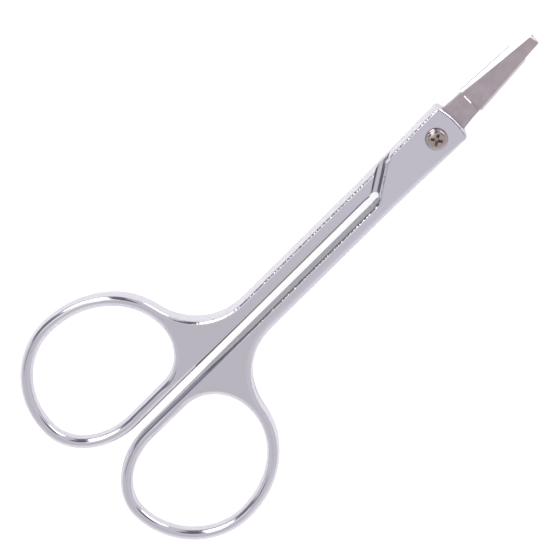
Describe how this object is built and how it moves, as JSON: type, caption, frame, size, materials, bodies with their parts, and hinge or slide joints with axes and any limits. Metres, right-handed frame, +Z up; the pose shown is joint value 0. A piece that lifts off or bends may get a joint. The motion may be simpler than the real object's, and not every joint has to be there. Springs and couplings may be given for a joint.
{
  "type": "finger-ring trimmer",
  "caption": "Small finger-ring trimmer with lapped plated handles, straight arms, oval finger rings, short blunt-tipped steel blades and a cross-recess pivot screw.",
  "frame": {"origin": "under the middle of the plan, on the plane that the back of the castings rests on", "axes": "+X along the handle towards the blade tips, +Y towards the finger ring of the half that lies behind, +Z up through the screw head"},
  "size_m": [0.0974, 0.0452, 0.0062],
  "materials": {
    "chrome_plate": "bright plate over a die casting",
    "satin_steel": "fine satin grind",
    "nickel_screw": "warm nickel plate"
  },
  "bodies": {
    "rear_half": {"rear_handle": "chrome_plate", "rear_blade": "satin_steel", "pivot_screw": "nickel_screw"},
    "front_half": {"front_handle": "chrome_plate", "front_blade": "satin_steel"}
  },
  "joints": [
    {"name": "pivot", "type": "hinge", "parent": "rear_half", "child": "front_half", "pos_m": [0.02745, 0, 0.0025], "axis": [0, 0, 1], "range_deg": [-0.9, 75]}
  ]
}
